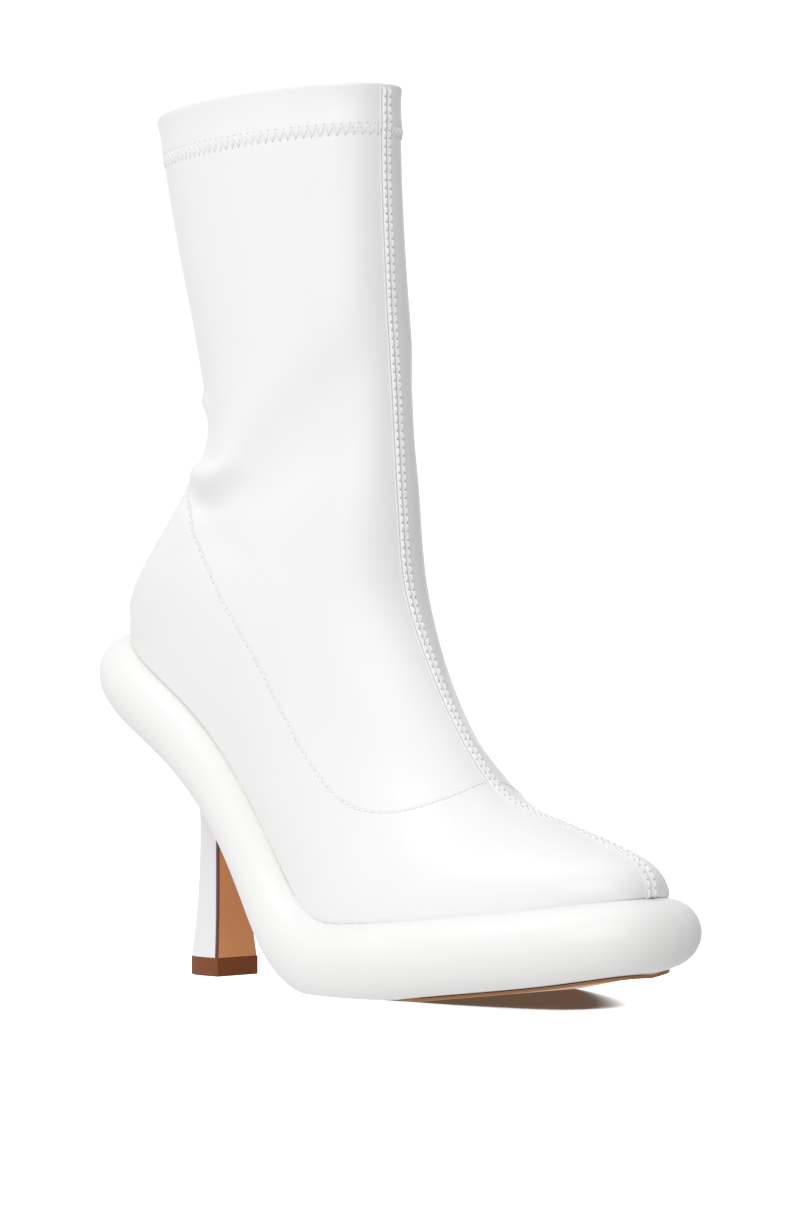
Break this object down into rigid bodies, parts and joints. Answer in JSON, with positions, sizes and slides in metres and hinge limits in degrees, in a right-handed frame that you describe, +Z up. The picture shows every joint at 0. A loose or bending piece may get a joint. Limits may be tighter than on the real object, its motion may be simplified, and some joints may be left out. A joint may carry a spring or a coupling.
{
  "type": "high-heeled ankle boot",
  "caption": "White pull-on leather ankle boot with a round-edged padded platform sole and a slim high heel, standing empty.",
  "frame": {"origin": "bottom centre of the boot's box, on the floor", "axes": "+X towards the toe, +Y towards the wearer's left, which is the inner side of this right boot, +Z up"},
  "size_m": [0.2334, 0.0946, 0.2815],
  "materials": {
    "white_leather": "smooth white calf leather, semi-gloss",
    "padded_white_leather": "smooth white leather stretched over a padded edge",
    "sock_leather": "natural lining leather, matt",
    "tan_sole_leather": "tan sole leather with a dyed edge",
    "heel_cover_leather": "white leather wrapped on a hard heel block",
    "lift_rubber": "dark brown wearing rubber"
  },
  "bodies": {
    "root": {"upper": "white_leather", "platform": "padded_white_leather", "insole": "sock_leather", "outsole": "tan_sole_leather", "heel": "heel_cover_leather", "heel_breast": "tan_sole_leather", "top_lift": "lift_rubber"}
  },
  "joints": []
}
